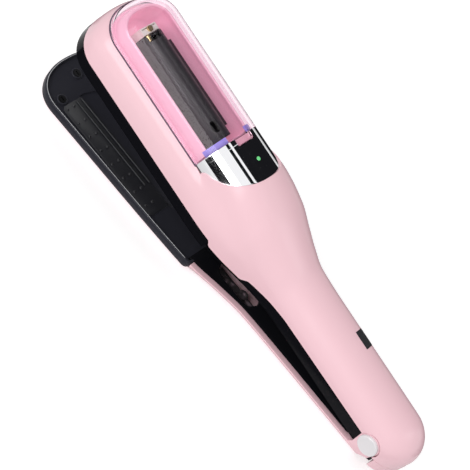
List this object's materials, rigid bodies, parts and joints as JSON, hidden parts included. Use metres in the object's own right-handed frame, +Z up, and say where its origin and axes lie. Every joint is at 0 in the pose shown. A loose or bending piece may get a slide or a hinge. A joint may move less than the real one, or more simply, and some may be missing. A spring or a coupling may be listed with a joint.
{
  "type": "split-end hair trimmer",
  "caption": "Cordless hair trimmer with a clear-covered cutting drum in a wide round head, a tapering handle and a sprung pressing arm hinged at the tail.",
  "frame": {"origin": "middle of the object's footprint, on the flat sole of the lower arm", "axes": "+X from the head's tip towards the tail, +Z up from the arm's sole, +Y to the side with the power button"},
  "size_m": [0.2551, 0.052, 0.0805],
  "materials": {
    "shell_pink": "smooth moulded, soft gloss",
    "frame_black": "high gloss",
    "cover_clear": "clear, polished",
    "tongue_pink": "gloss",
    "trim_chrome": "mirror",
    "tray_lilac": "gloss",
    "housing_black": "satin",
    "bearing_white": "satin",
    "brass_fitting": "turned",
    "blade_steel": "ground",
    "can_steel": "plated",
    "cell_sleeve": "shrink sleeve",
    "board_green": "solder mask",
    "button_black": "fine matte",
    "light_green": "frosted",
    "lamp_violet": "frosted",
    "cap_white": "gloss",
    "tray_black": "high gloss",
    "pad_black": "satin",
    "lock_metal": "dark plated"
  },
  "bodies": {
    "body": {"upper_shell": "shell_pink", "tail_piece": "shell_pink", "base_frame": "frame_black", "panel_frame": "frame_black", "trim_panel": "trim_chrome", "chamber_tray": "tray_lilac", "chamber_lamps": "lamp_violet", "cutter_housing": "housing_black", "housing_plate": "housing_black", "front_bearing": "bearing_white", "rear_bearing": "bearing_white", "bearing_screw": "brass_fitting", "drive_motor": "can_steel", "motor_mount": "housing_black", "fixed_blade": "blade_steel", "comb_plate": "blade_steel", "battery_cell": "cell_sleeve", "circuit_board": "board_green", "button_switch": "housing_black", "switch_board": "board_green", "charging_socket": "can_steel", "socket_board": "board_green", "status_light": "light_green", "light_board": "board_green", "shell_screws": "blade_steel", "hinge_pin": "blade_steel", "hinge_cap_left": "cap_white", "hinge_cap_right": "cap_white", "return_spring": "blade_steel"},
    "cover": {"window_cover": "cover_clear", "cover_tongue": "tongue_pink"},
    "drum": {"blade_roller": "blade_steel", "roller_shaft": "blade_steel", "roller_gear": "brass_fitting"},
    "pinion": {"motor_pinion": "brass_fitting"},
    "button": {"power_button": "button_black"},
    "arm": {"arm_cover": "shell_pink", "arm_tray": "tray_black", "grip_pad_left": "pad_black", "grip_pad_right": "pad_black", "tray_screws": "blade_steel", "arm_liner": "tray_black", "liner_screws": "blade_steel", "lock_rail": "lock_metal", "lock_spring": "lock_metal"},
    "slider": {"lock_slider": "lock_metal"}
  },
  "joints": [
    {"name": "arm_hinge", "type": "hinge", "parent": "body", "child": "arm", "pos_m": [0.1085, 0, 0.02], "axis": [0, 1, 0], "range_deg": [0, 8], "stiffness_Nm_per_rad": 1.2, "springref_deg": -25.78},
    {"name": "cover_hinge", "type": "hinge", "parent": "body", "child": "cover", "pos_m": [-0.12045, 0, 0.06623], "axis": [0, -1, 0], "range_deg": [0, 70]},
    {"name": "drum_spin", "type": "hinge", "parent": "body", "child": "drum", "pos_m": [-0.10299, 0, 0.04926], "axis": [0.9898, 0, -0.1426], "continuous": true},
    {"name": "pinion_spin", "type": "hinge", "parent": "body", "child": "pinion", "pos_m": [-0.03489, 0, 0.04854], "axis": [0.9898, 0, -0.1426], "continuous": true},
    {"name": "button_press", "type": "slide", "parent": "body", "child": "button", "axis": [-0.1256, -0.4741, -0.8714], "range_m": [0, 0.0006], "stiffness_N_per_m": 800, "springref_m": -0.0006},
    {"name": "lock_slide", "type": "slide", "parent": "arm", "child": "slider", "axis": [1, 0, 0], "range_m": [0, 0.003]}
  ],
  "couplings": [
    {"joint": "pinion_spin", "follows": "drum_spin", "ratio": -1.25}
  ]
}
